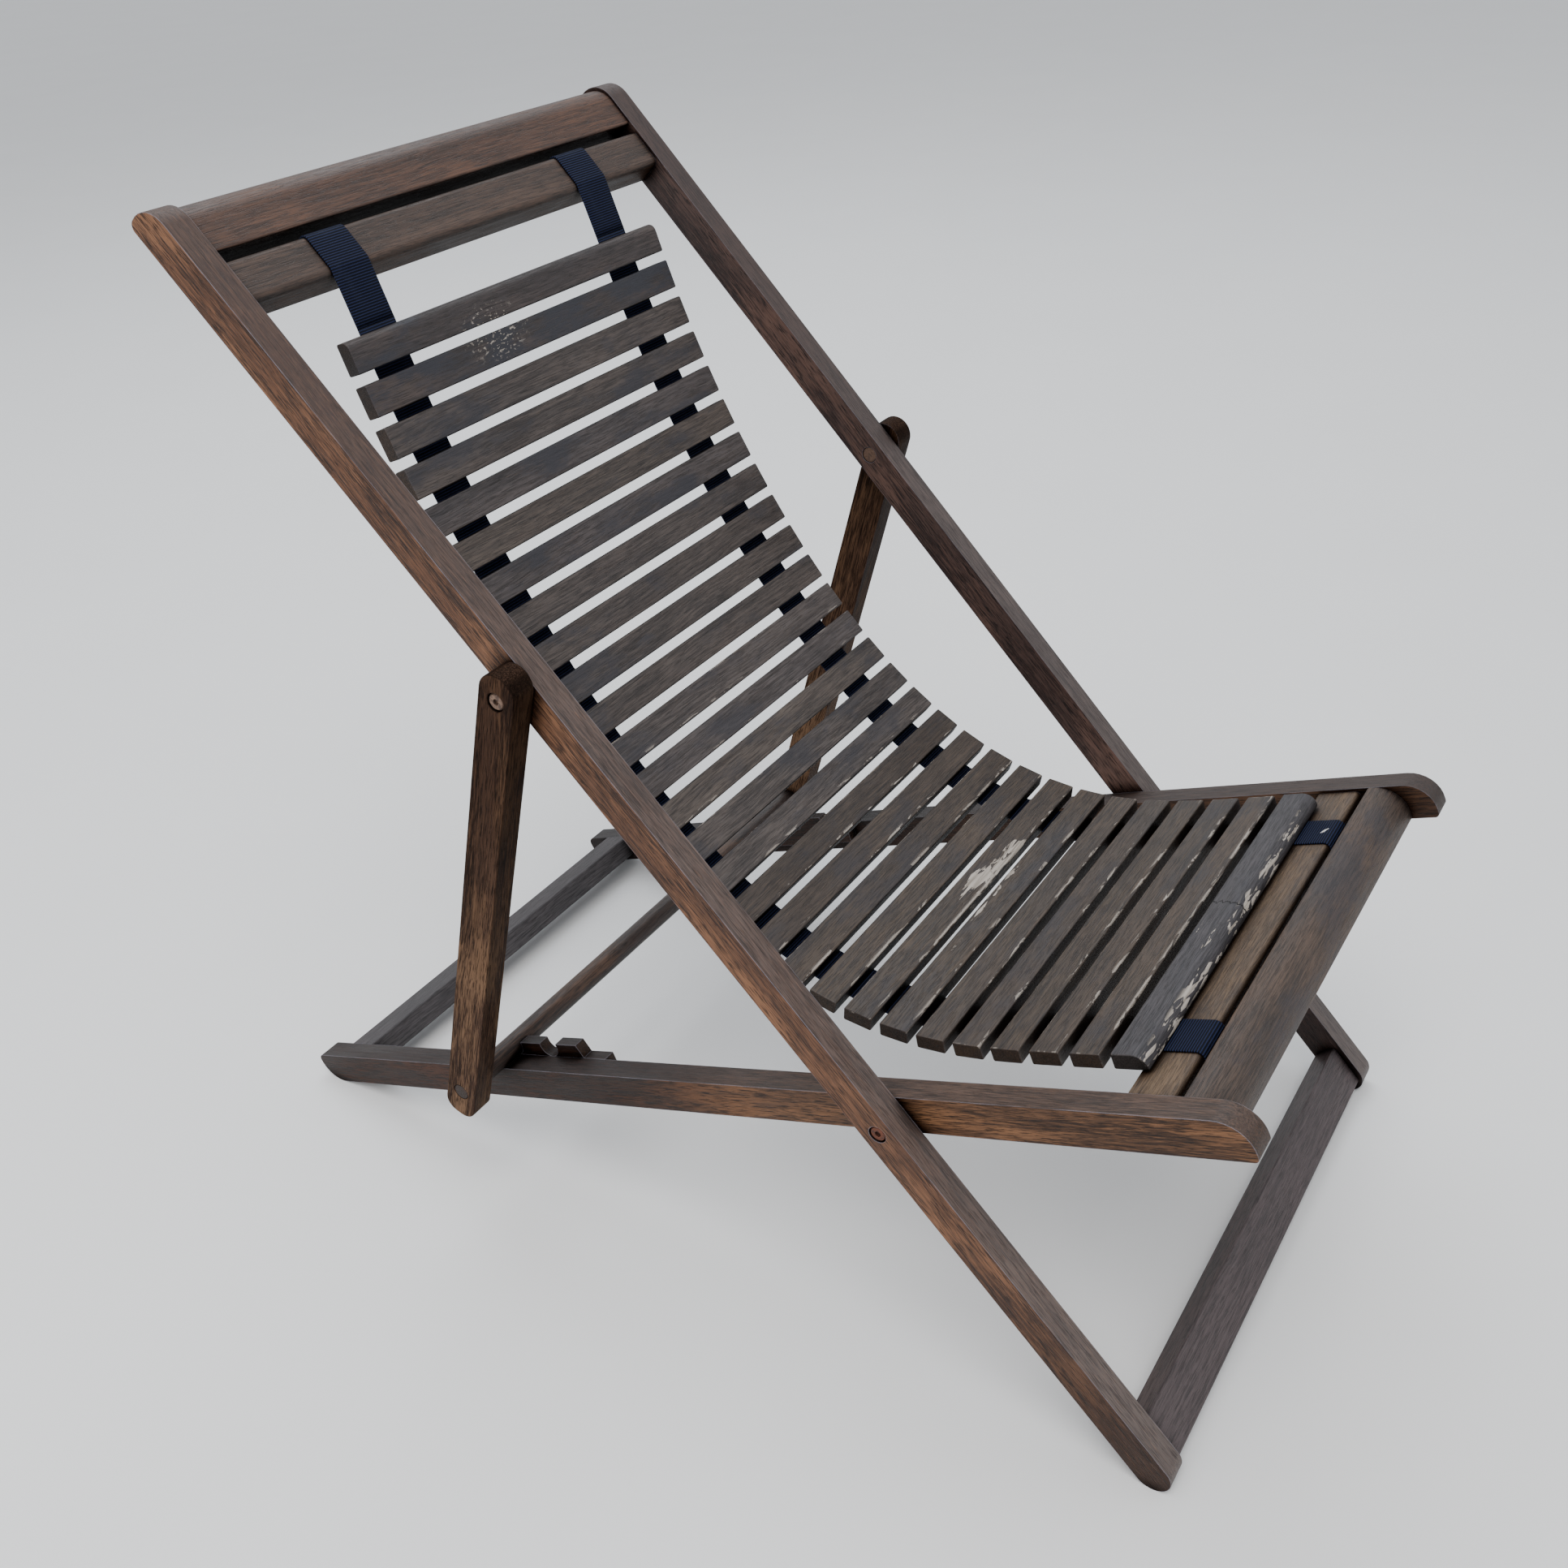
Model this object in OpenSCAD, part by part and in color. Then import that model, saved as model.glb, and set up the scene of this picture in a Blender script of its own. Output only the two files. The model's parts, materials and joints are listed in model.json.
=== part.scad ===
// Folding slatted sun lounger: a hardwood back frame, a seat frame and a prop frame on bolts,
// with a mat of slats carried by two webbing straps. Millimetres, +Z up, the sitter faces -Y.
// Side-view values: x runs forward along a member, y is square to it, towards the sitter.

/* [Frames] */
// width over the two back stiles
frame_w = 550; // [530:2:570]
// lean of the back stiles from level, degrees
back_angle = 47.3; // [46.5:0.1:48]
// thickness of every stile and leg, across the lounger
stile_t = 24; // [22:1:26]
// side gap between two neighbouring frames
side_gap = 2; // [1.8:0.1:2.4]
// depth of the back stiles
back_d = 32; // [30:1:34]
// depth of the seat stiles and prop legs
seat_d = 34; // [33:1:36]
// pivot to the top end of a back stile
back_top = 886; // [882:1:895]
// pivot to the foot of a back stile
back_foot = 374; // [370:1:380]
// pivot to the rear end of a seat stile
seat_rear = 782; // [776:1:784]
// pivot to the front end of a seat stile
seat_front = 301; // [296:1:308]

/* [Prop] */
// seat pivot to prop pivot, up the back stile
prop_up = 443.2; // [440:0.2:446]
// seat pivot to the prop bar in its notch, along the seat stile
notch_at = 468.6; // [466:0.2:470]
// radius of the round prop bar
bar_r = 10.7; // [10:0.1:10.7]
// height of the teeth over the seat stile
tooth_h = 14; // [10:1:16]

/* [Mat] */
// length of a slat, across the lounger
slat_len = 396; // [380:2:400]
// width of a slat
slat_w = 26; // [22:1:27]
// thickness of a slat
slat_t = 13; // [10:1:13]
// distance from slat to slat along the strap
pitch = 35.2; // [35:0.05:35.3]
// width of a strap
strap_w = 40; // [34:1:42]
// half distance between the two straps
strap_x = 151; // [140:1:160]

/* [Hardware] */
// radius of the pivot bolts
bolt_r = 4; // [3:0.5:5]
// radius of the wooden dowels in the rails
dowel_r = 4; // [3:0.5:4.5]

/* [View] */
// node to draw

/* [Hidden] */
$fn = 48;
clear = 0.3;
run_fit = 0.05;
strap_t = 1.6;
slats = 28;

// frame planes across the lounger, right-hand side
back_out = frame_w / 2;
back_in = back_out - stile_t;
seat_out = back_in - side_gap;
seat_in = seat_out - stile_t;
prop_in = back_out + side_gap;
prop_out = prop_in + stile_t;

// ends and rounded corners of the members
foot_r = back_d / 2;
rear_r = 26;
rear_top_r = 7;
nose_r = 28;
crown_r = 25;
crown_back_r = 6;
seat_edge_r = 4;

// corners of the rails: plain ones, and those that a strap bends over
small_r = 2;
top_low_r = 4;
top_high_r = 22;
foot_front_r = 8;
strap_bend_r = 5;
strap_drop_r = 6;

// the feet and the rear ends both touch the ground
pivot_z = (back_foot - foot_r) * sin(back_angle) + foot_r;
rear_x = seat_rear - rear_r;
rear_y = rear_r - seat_d / 2;
reach = sqrt(rear_x * rear_x + rear_y * rear_y);
seat_angle = asin((pivot_z - rear_r) / reach) + atan2(rear_y, rear_x);

// rails of the back frame: [rear x, front x, low y, high y]
top_rail_box = [-(back_top - 4), -(back_top - 54), -14, 14];
strap_rail_box = [-(back_top - 62), -(back_top - 99), -14, 13];
foot_bar_box = [back_foot - 52, back_foot - 8, -14, 10];

// rails of the seat frame
seat_top = seat_d / 2;
front_rail_box = [seat_front - 57, seat_front - 24, -seat_top, seat_top];
front_strap_top = seat_top - 3;
front_strap_box = [seat_front - 103, seat_front - 64, front_strap_top - 26, front_strap_top];
rear_bar_box = [-(seat_rear - 34), -(seat_rear - 70), seat_top - 26, seat_top];

// mat: lean of each slat, from the last slat on the seat frame up to the first
strap_mid = clear + strap_t / 2;
bend_base = 1.753;
bend_peak = 7.125;
bend_at = 22.55;
bend_up = 8.38;
bend_down = 2.4;
last_slat_x = 191.8;
slat_low_r = 1.5;
slat_high_r = 1.5;
first_slat_r = 7;
last_slat_rear = -slat_w / 2 - 0.5;
last_slat_front = slat_w / 2 + 2.5;
last_slat_t = slat_t + 1;
last_slat_r = 12;

// prop pivot and bar as seen from the side, measured from the seat pivot
bar_y = seat_top + bar_r + clear;
bar_uw = turn([-notch_at, bar_y], seat_angle);
prop_uw = turn([-prop_up, 0], -back_angle);
leg_len = norm(prop_uw - bar_uw);
leg_angle = atan2(prop_uw[1] - bar_uw[1], prop_uw[0] - bar_uw[0]);
leg_below = 33;
leg_above = 24;
leg_crown_r = 14;
tenon_r = 8;

// bolts, nuts and washers
recess_r = bolt_r + 3.8;
recess = 5;
head_r = bolt_r + 3.2;
head_h = 4;
nut_r = bolt_r + 3.2;
socket_r = 2.9;
socket_h = 2.4;
nut_cap = 2;
bolt_in_nut = 3.2;
nut_gap = 0.8;
seat_play = 0.1;
washer_play = 0.2;
washer_t = side_gap - 2 * washer_play;
washer_r = bolt_r + 6;

// dowels
dowel_in = 12;
dowel_out = 22;
dowel_fit = 0.02;
top_dowels = [[top_rail_box[0] + 14, 0], [top_rail_box[1] - 12, 0]];
strap_dowels = [[strap_rail_box[0] + 9, 0], [strap_rail_box[1] - 9, 0]];
foot_dowels = [[foot_bar_box[0] + 11, -2], [foot_bar_box[1] - 12, -2]];
front_dowels = [[front_rail_box[0] + 10, -8], [front_rail_box[0] + 10, 6]];
front_strap_dowels = [[front_strap_box[0] + 10, 4], [front_strap_box[1] - 10, 4]];
rear_dowels = [[rear_bar_box[0] + 9, 4], [rear_bar_box[1] - 9, 4]];

// notched racks
rack_t = 12;
rack_rear = -(notch_at + 43);
rack_front = -(notch_at - 124);
notch_r = bar_r + 2 * clear;
notch_step = 51;
tooth_front = -(notch_at - 91);
rack_low = -3;
tooth_slope = 4;
rack_screw_x = [rack_rear + 12, rack_front - 15];
rack_screw_y = 6;
rack_screw_r = 2;
rack_head_r = 3.8;
rack_head_h = 2.6;
rack_head_x = seat_in - rack_t + 3;
rack_screw_in = 12;

// strap tacks
tack_r = 1;
tack_head_r = 3.5;
tack_head_h = 0.8;
tack_len = 10;
tack_x = 10;
tack_stand = clear + strap_t + 0.1;
// places along a member and the face that they are driven into
tack_up = [strap_rail_box[1] - 20, strap_rail_box[2]];
tack_down = [front_strap_box[0] + 22, front_strap_box[2]];

// round corners are drawn with this many steps
steps = 8;

// ---- side-view geometry ----

function turn(p, a) = [p[0] * cos(a) - p[1] * sin(a), p[0] * sin(a) + p[1] * cos(a)];

function arc(c, r, from, to) =
    [for (i = [0:steps]) c + r * [cos(from + (to - from) * i / steps), sin(from + (to - from) * i / steps)]];

function without_doubles(p) =
    [for (i = [0:len(p) - 1]) if (norm(p[i] - p[(i + 1) % len(p)]) > 0.01) p[i]];

// section of a bar: radii at rear low, front low, front high and rear high corners
function bar_outline(b, r) = without_doubles(concat(
    arc([b[0] + r[0], b[2] + r[0]], r[0], 180, 270),
    arc([b[1] - r[1], b[2] + r[1]], r[1], 270, 360),
    arc([b[1] - r[2], b[3] - r[2]], r[2], 0, 90),
    arc([b[0] + r[3], b[3] - r[3]], r[3], 90, 180)));

back_outline = bar_outline([-back_top, back_foot, -back_d / 2, back_d / 2],
    [crown_back_r, foot_r, foot_r, crown_r]);
seat_outline = bar_outline([-seat_rear, seat_front, -seat_top, seat_top],
    [rear_r, seat_edge_r, nose_r, rear_top_r]);

// the box of the lounger is centred on the origin, front to back
seat_reach = [for (p = seat_outline) turn(p, seat_angle)[0]];
pivot_y = (max(seat_reach) + min(seat_reach)) / 2;

// bend of the strap between slat i and the slat in front of it
function bend(i) = i + 0.5 < bend_at
    ? bend_base + (bend_peak - bend_base) * exp(-pow((i + 0.5 - bend_at) / bend_up, 2))
    : bend_peak * exp(-pow((i + 0.5 - bend_at) / bend_down, 2));
function slat_angle(i) = i == slats ? seat_angle : slat_angle(i + 1) - bend(i);

// middle of the strap's stretch under slat i
function slat_mid(i) = i == slats
    ? turn([last_slat_x, front_strap_top + strap_mid], seat_angle)
    : slat_mid(i + 1) - turn([pitch / 2, 0], slat_angle(i + 1)) - turn([pitch / 2, 0], slat_angle(i));

// where the strap bends between slat i - 1 and slat i
function strap_joint(i) = slat_mid(i) - turn([pitch / 2, 0], slat_angle(i));

function in_back(p) = turn(p, -back_angle);
function in_seat(p) = turn(p, seat_angle);

// the strap's middle line where it bends over a corner of radius r round c
function over(c, r, angles) = [for (a = angles) c + (r + strap_mid) * [cos(a), sin(a)]];

// middle line of a strap, from the back of the upper strap rail to the underside of the front one
strap_upper_end = concat(
    [[strap_rail_box[1] - 9, strap_rail_box[2] - strap_mid]],
    over([strap_rail_box[0] + small_r, strap_rail_box[2] + small_r], small_r, [270, 240, 210, 180]),
    over([strap_rail_box[0] + strap_bend_r, strap_rail_box[3] - strap_bend_r], strap_bend_r,
        [180, 150, 120, 90]),
    over([strap_rail_box[1] - strap_drop_r, strap_rail_box[3] - strap_drop_r], strap_drop_r,
        [90, 77, 64]));
strap_lower_end = concat(
    over([front_strap_box[1] - strap_bend_r, front_strap_box[3] - strap_bend_r], strap_bend_r,
        [90, 60, 30, 0]),
    over([front_strap_box[1] - small_r, front_strap_box[2] + small_r], small_r, [360, 330, 300, 270]),
    [[front_strap_box[0] + 12, front_strap_box[2] - strap_mid]]);
strap_line = concat(
    [for (p = strap_upper_end) in_back(p)],
    [for (i = [1:slats]) strap_joint(i)],
    [for (p = strap_lower_end) in_seat(p)]);

// unit normal of the line at point i, and the mitred edge of a band along it
function heading(p, i) = (p[i + 1] - p[i]) / norm(p[i + 1] - p[i]);
function left_of(v) = [-v[1], v[0]];
function mitre(p, i) = i == 0 ? left_of(heading(p, 0))
    : i == len(p) - 1 ? left_of(heading(p, i - 1))
    : let (a = left_of(heading(p, i - 1)), b = left_of(heading(p, i))) (a + b) / (1 + a * b);
function band(p, t) = concat(
    [for (i = [0:len(p) - 1]) p[i] - mitre(p, i) * t / 2],
    [for (i = [len(p) - 1:-1:0]) p[i] + mitre(p, i) * t / 2]);

// ---- placing ----

// a side-view outline drawn from xa to xb across the lounger
module across(xa, xb)
    translate([xb, 0, 0])
        rotate([90, 0, -90])
            linear_extrude(xb - xa)
                children();

// the frame of a member that passes through p and leans at angle a
module member(p, a)
    translate([0, pivot_y - p[0], pivot_z + p[1]])
        rotate([-a, 0, 0])
            children();

module on_back() member([0, 0], -back_angle) children();
module on_seat() member([0, 0], seat_angle) children();
module on_prop() member(prop_uw, leg_angle) children();

// a round pin along X at side-view point p
module pin(p, xa, xb, r)
    translate([xa, -p[0], p[1]])
        rotate([0, 90, 0])
            cylinder(h = xb - xa, r = r);

module both_sides() {
    children();
    mirror([1, 0, 0]) children();
}

module one_side(s) mirror([s < 0 ? 1 : 0, 0, 0]) children();

module dowel_bores(points, x)
    for (p = points)
        pin(p, x - dowel_out - clear, x + dowel_in + clear, dowel_r + dowel_fit);

module dowels(points, x)
    for (p = points)
        both_sides() pin(p, x - dowel_out, x + dowel_in, dowel_r);

// ---- back frame ----

module back_stile(s)
    one_side(s) on_back() difference() {
        across(back_in, back_out) polygon(back_outline);
        pin([0, 0], back_in - 1, back_out + 1, bolt_r + run_fit);
        pin([0, 0], back_out - recess, back_out + 1, recess_r);
        pin([-prop_up, 0], back_in - 1, back_out + 1, bolt_r + run_fit);
        pin([-prop_up, 0], back_in - 1, back_in + recess, recess_r);
        dowel_bores(top_dowels, back_in);
        dowel_bores(strap_dowels, back_in);
        dowel_bores(foot_dowels, back_in);
    }

module back_rail(box, r, points)
    on_back() difference() {
        across(-back_in, back_in) polygon(bar_outline(box, r));
        both_sides() dowel_bores(points, back_in);
    }

module top_rail()
    color("peru") back_rail(top_rail_box, [top_low_r, small_r, small_r, top_high_r], top_dowels);
module foot_crossbar()
    color("peru") back_rail(foot_bar_box, [small_r, foot_front_r, small_r, small_r], foot_dowels);

module top_strap_rail()
    color("peru") difference() {
        back_rail(strap_rail_box, [small_r, small_r, strap_drop_r, strap_bend_r], strap_dowels);
        on_back() tack_bores(tack_up);
    }

// ---- seat frame ----

module seat_stile(s)
    one_side(s) on_seat() difference() {
        across(seat_in, seat_out) polygon(seat_outline);
        pin([0, 0], seat_in - 1, seat_out + 1, bolt_r + run_fit);
        pin([0, 0], seat_in - 1, seat_in + recess, recess_r);
        dowel_bores(front_dowels, seat_in);
        dowel_bores(front_strap_dowels, seat_in);
        dowel_bores(rear_dowels, seat_in);
        for (x = rack_screw_x)
            pin([x, rack_screw_y], seat_in - 1, seat_in + rack_screw_in + 2, rack_screw_r + dowel_fit);
    }

module seat_rail(box, r, points)
    on_seat() difference() {
        across(-seat_in, seat_in) polygon(bar_outline(box, r));
        both_sides() dowel_bores(points, seat_in);
    }

module front_rail()
    color("sienna") seat_rail(front_rail_box, [small_r, small_r, nose_r, small_r], front_dowels);
module rear_crossbar()
    color("sienna") seat_rail(rear_bar_box, [small_r, small_r, small_r, small_r], rear_dowels);

module front_strap_rail()
    color("goldenrod") difference() {
        seat_rail(front_strap_box, [small_r, small_r, strap_bend_r, small_r], front_strap_dowels);
        on_seat() tack_bores(tack_down);
    }

// the strip with teeth that hold the prop bar, on the inner side of a seat stile
module notch_rack(s)
    one_side(s) on_seat() difference() {
        across(seat_in - rack_t, seat_in) polygon([[rack_rear, rack_low], [rack_front, rack_low],
            [rack_front, seat_top], [tooth_front + tooth_slope, seat_top], [tooth_front, seat_top + tooth_h],
            [-notch_at, seat_top + tooth_h], [-notch_at, seat_top], [rack_rear, seat_top]]);
        for (x = [-notch_at, -notch_at + notch_step])
            pin([x, bar_y], seat_in - rack_t - 1, seat_in + 1, notch_r);
        for (x = [-notch_at, -notch_at + notch_step])
            translate([seat_in - rack_t - 1, -x - notch_r, bar_y])
                cube([rack_t + 2, 2 * notch_r, tooth_h]);
        for (x = rack_screw_x) {
            pin([x, rack_screw_y], seat_in - rack_t - 1, seat_in + 1, rack_screw_r + dowel_fit);
            pin([x, rack_screw_y], seat_in - rack_t - 1, rack_head_x, rack_head_r + 0.2);
        }
    }

module rack_screws()
    color("gold") both_sides() on_seat()
        for (x = rack_screw_x) {
            pin([x, rack_screw_y], rack_head_x, seat_in + rack_screw_in, rack_screw_r);
            pin([x, rack_screw_y], rack_head_x - rack_head_h, rack_head_x, rack_head_r);
        }

// ---- prop frame ----

module prop_leg(s)
    one_side(s) on_prop() difference() {
        across(prop_in, prop_out) polygon(bar_outline([-(leg_len + leg_below), leg_above,
            -seat_top, seat_top], [leg_crown_r, seat_top, seat_top, leg_crown_r]));
        pin([0, 0], prop_in - 1, prop_out + 1, bolt_r + run_fit);
        pin([0, 0], prop_out - recess, prop_out + 1, recess_r);
        pin([-leg_len, 0], prop_in - 1, prop_out + 1, tenon_r + dowel_fit);
    }

module prop_bar()
    color("chocolate") on_prop() {
        pin([-leg_len, 0], -prop_in, prop_in, bar_r);
        both_sides() pin([-leg_len, 0], prop_in - 1, prop_out, tenon_r);
    }

// ---- mat ----

module slat(i)
    color("saddlebrown") member(slat_mid(i), slat_angle(i))
        across(-slat_len / 2, slat_len / 2)
            polygon(bar_outline([-slat_w / 2, slat_w / 2, strap_mid, strap_mid + slat_t],
                [slat_low_r, slat_low_r, slat_high_r, i == 1 ? first_slat_r : slat_high_r]));

// the last slat is a thicker nosing with a rounded front
module last_slat()
    color("saddlebrown") member(slat_mid(slats), slat_angle(slats))
        across(-slat_len / 2, slat_len / 2)
            polygon(bar_outline([last_slat_rear, last_slat_front, strap_mid, strap_mid + last_slat_t],
                [slat_low_r, slat_low_r, last_slat_r, slat_high_r]));

module strap(s)
    color("midnightblue") difference() {
        translate([s * strap_x, 0, 0]) member([0, 0], 0)
            across(-strap_w / 2, strap_w / 2) polygon(band(strap_line, strap_t));
        on_back() tack_bores(tack_up);
        on_seat() tack_bores(tack_down);
    }

module tack_spots()
    for (x = [-strap_x, strap_x], d = [-tack_x, tack_x]) translate([x + d, 0, 0]) children();

module tack_bores(t)
    tack_spots() translate([0, -t[0], t[1] - 2 * tack_stand])
        cylinder(h = tack_len + 2 * tack_stand, r = tack_r + dowel_fit);

module tacks(t)
    tack_spots() translate([0, -t[0], t[1] - tack_stand]) {
        cylinder(h = tack_len, r = tack_r);
        translate([0, 0, -tack_head_h]) cylinder(h = tack_head_h, r = tack_head_r);
    }

module top_strap_tacks() color("silver") on_back() tacks(tack_up);
module front_strap_tacks() color("silver") on_seat() tacks(tack_down);

// ---- pivots ----

// a flat-headed bolt from x_head inwards, with a hexagon socket in its head
module bolt(p, x_head, x_end)
    difference() {
        union() {
            pin(p, x_end, x_head, bolt_r);
            translate([x_head, -p[0], p[1]]) rotate([0, 90, 0]) rotate_extrude()
                polygon([[0, 0], [head_r, 0], [head_r, head_h * 0.7], [head_r * 0.85, head_h], [0, head_h]]);
        }
        translate([x_head + head_h - socket_h, -p[0], p[1]]) rotate([0, 90, 0])
            cylinder(h = socket_h + 1, r = socket_r, $fn = 6);
    }

module sleeve_nut(p, xa, xb)
    difference() {
        pin(p, xa, xb, nut_r);
        pin(p, xa + nut_cap, xb + 1, bolt_r + run_fit);
    }

module washer(p, x)
    difference() {
        pin(p, x + washer_play, x + washer_play + washer_t, washer_r);
        pin(p, x - 1, x + washer_t + 1, bolt_r + run_fit);
    }

module seat_pivot_bolts()
    color("chocolate") both_sides() on_back()
        bolt([0, 0], back_out - recess + seat_play, seat_in + bolt_in_nut);

module seat_pivot_nuts()
    color("chocolate") both_sides() on_back()
        sleeve_nut([0, 0], seat_in + nut_gap, seat_in + recess - seat_play);

module seat_pivot_washers()
    color("silver") both_sides() on_back() washer([0, 0], seat_out);

module prop_pivot_bolts()
    color("chocolate") both_sides() on_back()
        bolt([-prop_up, 0], prop_out - recess + seat_play, back_in + bolt_in_nut);

module prop_pivot_nuts()
    color("chocolate") both_sides() on_back()
        sleeve_nut([-prop_up, 0], back_in + nut_gap, back_in + recess - seat_play);

module prop_pivot_washers()
    color("silver") both_sides() on_back() washer([-prop_up, 0], back_out);

// ---- dowels ----

module back_frame_dowels()
    color("burlywood") on_back() {
        dowels(top_dowels, back_in);
        dowels(strap_dowels, back_in);
        dowels(foot_dowels, back_in);
    }

module seat_frame_dowels()
    color("burlywood") on_seat() {
        dowels(front_dowels, seat_in);
        dowels(front_strap_dowels, seat_in);
        dowels(rear_dowels, seat_in);
    }

// ---- nodes ----

color("peru") back_stile(-1);  // back_stile_left
color("peru") back_stile(1);  // back_stile_right
top_rail();
top_strap_rail();
foot_crossbar();
color("sienna") seat_stile(-1);  // seat_stile_left
color("sienna") seat_stile(1);  // seat_stile_right
front_rail();
front_strap_rail();
rear_crossbar();
color("sienna") notch_rack(-1);  // notch_rack_left
color("sienna") notch_rack(1);  // notch_rack_right
color("chocolate") prop_leg(-1);  // prop_leg_left
color("chocolate") prop_leg(1);  // prop_leg_right
prop_bar();
strap(-1);  // strap_left
strap(1);  // strap_right
slat(1);  // slat_01
slat(2);  // slat_02
slat(3);  // slat_03
slat(4);  // slat_04
slat(5);  // slat_05
slat(6);  // slat_06
slat(7);  // slat_07
slat(8);  // slat_08
slat(9);  // slat_09
slat(10);  // slat_10
slat(11);  // slat_11
slat(12);  // slat_12
slat(13);  // slat_13
slat(14);  // slat_14
slat(15);  // slat_15
slat(16);  // slat_16
slat(17);  // slat_17
slat(18);  // slat_18
slat(19);  // slat_19
slat(20);  // slat_20
slat(21);  // slat_21
slat(22);  // slat_22
slat(23);  // slat_23
slat(24);  // slat_24
slat(25);  // slat_25
slat(26);  // slat_26
slat(27);  // slat_27
last_slat();  // slat_28
seat_pivot_bolts();
seat_pivot_nuts();
seat_pivot_washers();
prop_pivot_bolts();
prop_pivot_nuts();
prop_pivot_washers();
back_frame_dowels();
seat_frame_dowels();
rack_screws();
top_strap_tacks();
front_strap_tacks();
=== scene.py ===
import bpy
import bmesh
import json
import math
import random
from mathutils import Vector, Matrix


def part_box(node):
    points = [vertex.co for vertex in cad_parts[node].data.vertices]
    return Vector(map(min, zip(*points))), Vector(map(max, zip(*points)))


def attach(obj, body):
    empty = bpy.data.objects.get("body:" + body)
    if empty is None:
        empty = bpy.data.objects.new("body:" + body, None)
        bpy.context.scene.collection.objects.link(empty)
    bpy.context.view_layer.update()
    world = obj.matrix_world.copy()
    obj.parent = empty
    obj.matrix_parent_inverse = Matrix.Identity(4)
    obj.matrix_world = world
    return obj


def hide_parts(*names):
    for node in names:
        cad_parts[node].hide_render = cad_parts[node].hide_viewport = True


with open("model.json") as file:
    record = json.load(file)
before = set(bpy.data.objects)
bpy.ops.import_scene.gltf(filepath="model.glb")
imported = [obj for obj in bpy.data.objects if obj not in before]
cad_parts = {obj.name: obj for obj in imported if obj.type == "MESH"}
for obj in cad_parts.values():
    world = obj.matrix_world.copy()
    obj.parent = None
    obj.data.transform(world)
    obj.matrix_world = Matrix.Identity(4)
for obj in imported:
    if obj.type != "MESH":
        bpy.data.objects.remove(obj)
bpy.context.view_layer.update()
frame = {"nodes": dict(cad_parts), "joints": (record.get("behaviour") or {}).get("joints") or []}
NODES = frame["nodes"]
JOINTS = {j["name"]: j for j in frame["joints"]}
random.seed(7)
MM = 0.001

# ---------------------------------------------------------------- the frame's own geometry
BACK_ANGLE = math.radians(47.3)
SEAT_ANGLE = math.radians(20.24)
SLATS = 28
PITCH = 35.2 * MM
STRAP_T = 1.6 * MM
STRAP_W = 40 * MM
STRAP_X = 151 * MM
SEAT_PIVOT = Vector(JOINTS["fold"]["pos_m"])
PROP_PIVOT = Vector(JOINTS["prop_swing"]["pos_m"])


def side(p, lean):
    """A side-view point (forward, up from the member), from the seat pivot on a member that leans by lean."""
    x, y = p
    return Vector((0, SEAT_PIVOT.y - (x * math.cos(lean) - y * math.sin(lean)),
                   SEAT_PIVOT.z + x * math.sin(lean) + y * math.cos(lean)))


def slat_name(i):
    return f"slat_{i:02d}"


def shade(colour, factor):
    """A darker or lighter version of a colour."""
    return tuple(v * factor for v in colour)


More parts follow.
